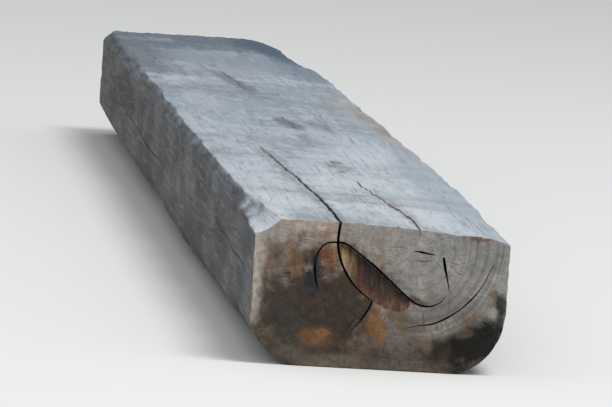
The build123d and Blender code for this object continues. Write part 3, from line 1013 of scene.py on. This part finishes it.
def add_shake(name, line, end, inward):
    """A split that shows on one end and closes as it runs into the wood."""
    across, down, gape = np.array(line).T
    gape = gape * (1 + SHAKE_UNEVEN * chance.uniform(-1, 1, len(gape)))
    count = max(6, round(np.hypot(np.diff(across), np.diff(down)).sum() / BLADE_STEP))
    loops = []
    for depth, open_share in ((-OVERCUT, 1.0), (PART_WAY * SHAKE_DEPTH, PART_CLOSED), (SHAKE_DEPTH, CLOSED)):
        loops.append(gap_loop(across, down, gape * open_share, end + inward * depth, count))
    add_blade(name, loops)


for name, line in SHAKES.items():
    add_shake(name, line, near_end, 1)
for name, line in FAR_CHECKS.items():
    add_shake(name, line, far_end, -1)

ins = np.array([depth for depth, _, _ in TOP_CHECK])
shares = np.array([share for _, share, _ in TOP_CHECK])
courses = np.array([line for _, _, line in TOP_CHECK]).transpose(1, 2, 0)
loops = []
for depth in np.arange(ins[0], ins[-1] + CHECK_STEP, CHECK_STEP):
    line = np.array([[smooth_through(ins, course, depth) for course in point] for point in courses])
    aside = TOP_CHECK_WANDER * wander(np.array([depth]), 0.05, 31)[0] * (depth > 0)
    gape = TOP_CHECK_GAPE * np.interp(depth, ins, shares) * (1 + CHECK_UNEVEN * chance.uniform(-1, 1))
    narrowing = gape * np.linspace(1, TOP_CHECK_TIP, len(line))
    loops.append(gap_loop(line[:, 0] + aside, line[:, 1], narrowing, near_end + depth, TOP_CHECK_POINTS))
add_blade("top_check", loops)


def add_face_check(name, face, deep, line):
    """A check that runs along a face: a wedge along its line, which rises out of the wood at both ends."""
    places, ins, gapes = np.array(line).T
    depths = np.arange(ins[0], ins[-1], CHECK_STEP)
    middle = smooth_through(ins, places, depths) + CHECK_WANDER * wander(depths, 0.05, len(name))
    gape = np.interp(depths, ins, gapes) * (1 + CHECK_UNEVEN * chance.uniform(-1, 1, len(depths)))
    bite = deep * np.clip(gape / gapes.max() * 1.3, 0.05, 1)
    skin = {"top": HEIGHT, "left": -WIDTH / 2, "right": WIDTH / 2}[face]
    outer = skin + (OVERCUT if face != "left" else -OVERCUT)
    inner = skin - bite if face != "left" else skin + bite
    mouth = gape * (bite + OVERCUT) / bite
    loops = []
    for centre, wide, bottom, depth in zip(middle, mouth, inner, depths):
        corners = [(centre - wide / 2, outer), (centre + wide / 2, outer), (centre, bottom)]
        if face == "top":
            loops.append([(place, near_end + depth, level) for place, level in corners])
        else:
            loops.append([(level, near_end + depth, place) for place, level in corners])
    add_blade(name, loops)


for name, (face, deep, line) in FACE_CHECKS.items():
    add_face_check(name, face, deep, line)
for number in range(FINE_CHECKS):
    face = ("left", "right")[number % 2]
    place = chance.uniform(0.060, 0.115)
    start = chance.uniform(0.04, 2.2)
    length = chance.uniform(0.12, 0.38)
    gapes = [NEARLY_SHUT, FINE_CHECK_GAPE, FINE_CHECK_GAPE * chance.uniform(0.6, 1.3), NEARLY_SHUT]
    along = start + length * np.array([0, 0.3, 0.7, 1.0])
    drift = place + 0.006 * np.cumsum(chance.uniform(-1, 1, 4)) * length
    add_face_check(f"fine_check_{number}", face, FINE_CHECK_DEPTH, list(zip(drift, along, gapes)))


# The screw holes: under each rail seat, four blind holes that coach screws cut their thread in. They
# and the splits are cut out of the timber together, and its ends crumble.
HOLE_SIDES = 28
END_REACH = 0.010  # how deep the ends' crumbled and sunken faces lie
SAWN_ACROSS = 0.6  # a face there that turns more than this to the end shows end grain
SHARP_ANGLE = math.radians(38)

fitting = GeometryMaker(
    "splits_and_screw_holes",
    {
        "Splits": splits,
        "Crumble depth": CRUMBLE_DEPTH,
        "Hole radius": SCREW_HOLE_RADIUS,
        "Hole depth": HEIGHT - TOP_FALL - SCREW_COVER + OVERCUT,
        "Hole sides": HOLE_SIDES,
        "Screws across": SCREWS_ACROSS,
        "Screws along": SCREWS_ALONG,
        "Seat centre": SEAT_CENTRE,
        "Seed": WEATHERING_SEED,
        "Long faces": wood.material,
        "Near end": near_grain,
        "Far end": far_grain,
    },
)
given = fitting.given
_, along, _ = fitting.parts(fitting.point)
_, facing_along, _ = fitting.parts(fitting.node("GeometryNodeInputNormal"))
crumb_sizes = (CRUMBLE_SIZE, 1.0, CRUMBLE_SIZE)
crumbs = fitting.noise(crumb_sizes, detail=4.0, roughness=0.6, seed=given.of("Seed"))
crumbled = given.of("Crumble depth") * fitting.step(crumbs, 0.35, 0.75) * fitting.attribute("on_end")
inward = fitting.node("ShaderNodeCombineXYZ", {}, {"Y": fitting.math("SIGN", along) * -crumbled})
worn = fitting.node("GeometryNodeSetPosition", {}, {"Geometry": given.of("Geometry"), "Offset": inward})

barrel = {"Vertices": given.of("Hole sides"), "Radius": given.of("Hole radius")}
hole = fitting.node("GeometryNodeMeshCylinder", {}, barrel | {"Depth": given.of("Hole depth")})
pattern = {"Size X": given.of("Screws across"), "Size Y": given.of("Screws along")}
holes = fitting.node("GeometryNodeMeshGrid", {}, pattern | {"Vertices X": 2, "Vertices Y": 2})
holes = fitting.node("GeometryNodeInstanceOnPoints", {}, {"Points": holes, "Instance": hole})
blades = {"Collection": given.of("Splits"), "Separate Children": True}
cutters = [fitting.node("GeometryNodeCollectionInfo", {}, blades)]
hole_middle = given.of("Hole depth") * 0.5 - OVERCUT
for centre in (-given.of("Seat centre"), given.of("Seat centre")):
    middle = fitting.node("ShaderNodeCombineXYZ", {}, {"Y": centre, "Z": hole_middle})
    cutters.append(fitting.node("GeometryNodeTransform", {}, {"Geometry": holes, "Translation": middle}))
cutting = {"operation": "DIFFERENCE", "solver": "MANIFOLD"}
cut = fitting.node("GeometryNodeMeshBoolean", cutting, {"Mesh 1": worn, "Mesh 2": cutters})
cut = fitting.keep(cut, "depth", fitting.node("GeometryNodeProximity", {}, {0: worn}).of("Distance"))
cut = fitting.node("GeometryNodeRealizeInstances", {}, {"Geometry": cut})
cut = fitting.node("GeometryNodeSetMaterial", {}, {"Geometry": cut, "Material": given.of("Long faces")})
sawn_across = abs(facing_along) > SAWN_ACROSS
for end, title in ((-1, "Near end"), (1, "Far end")):
    chosen = (along * end > LENGTH / 2 - END_REACH) * sawn_across
    sockets = {"Geometry": cut, "Selection": chosen, "Material": given.of(title)}
    cut = fitting.node("GeometryNodeSetMaterial", {}, sockets)
fitting.remake(timber, cut)

# A corner that only two faces share would fold them onto each other as triangles, so it goes.
shape = bmesh.new()
shape.from_mesh(timber.data)
bmesh.ops.dissolve_verts(shape, verts=[corner for corner in shape.verts if len(corner.link_edges) == 2])
shape.to_mesh(timber.data)
shape.free()

for blade in list(splits.objects):
    bpy.data.objects.remove(blade)
bpy.data.collections.remove(splits)
timber.data.set_sharp_from_angle(angle=SHARP_ANGLE)
timber.data.shade_smooth()

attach(timber, "root")
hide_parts("sleeper")


# The floor and the studio: a plain pale floor just under the timber, large soft lamps overhead and in
# front, and an even pale sky, at which colours look as they are written.
FLOOR_SIZE = 80.0
FLOOR_GAP = 0.0003
FLOOR_TONE = tone(214, 214, 212)
SKY_TONE, SKY_STRENGTH = (0.95, 0.975, 1.0, 1.0), 0.60
BACKDROP_TONE, BACKDROP_STRENGTH = (1.0, 1.0, 1.0, 1.0), 1.0

half = FLOOR_SIZE / 2
corners = [(x, y, -FLOOR_GAP) for x, y in ((-half, -half), (half, -half), (half, half), (-half, half))]
floor_mesh = bpy.data.meshes.new("floor")
floor_mesh.from_pydata(corners, [], [(0, 1, 2, 3)])
floor = add_object("floor", floor_mesh)
floor_finish = Finish("pale_floor")
floor_surface = floor_finish.node("ShaderNodeBsdfDiffuse", {}, {"Color": FLOOR_TONE})
floor_finish.node("ShaderNodeOutputMaterial", {}, {"Surface": floor_surface})
floor_mesh.materials.append(floor_finish.material)


def add_lamp(name, place, aim, size, power):
    """A round soft lamp at a place, turned to what it lights."""
    lamp = add_object(name, bpy.data.lights.new(name, "AREA"))
    lamp.data.shape = "DISK"
    lamp.data.size = size
    lamp.data.energy = power
    lamp.matrix_world = aimed(place, aim)


add_lamp("lamp_overhead", place=(2.6, -3.2, 8.5), aim=(0.0, 0.0, 0.0), size=4.5, power=570.0)
add_lamp("lamp_in_front", place=(-1.5, -11.0, 4.0), aim=(0.0, 0.0, 0.1), size=4.0, power=300.0)

world = bpy.data.worlds.new("studio")
world.use_nodes = True
sky = Maker(world.node_tree)
world.node_tree.nodes.clear()
rays = sky.node("ShaderNodeLightPath")
seen = sky.math("MAXIMUM", rays.of("Is Camera Ray"), rays.of("Is Glossy Ray"))
seen = sky.math("MAXIMUM", seen, rays.of("Is Transmission Ray"))
ambient = sky.node("ShaderNodeBackground", {}, {"Color": SKY_TONE, "Strength": SKY_STRENGTH})
backdrop = sky.node("ShaderNodeBackground", {}, {"Color": BACKDROP_TONE, "Strength": BACKDROP_STRENGTH})
background = sky.node("ShaderNodeMixShader", {}, {0: seen, 1: ambient, 2: backdrop})
sky.node("ShaderNodeOutputWorld", {}, {"Surface": background})
bpy.context.scene.world = world
bpy.context.scene.view_settings.view_transform = "Standard"
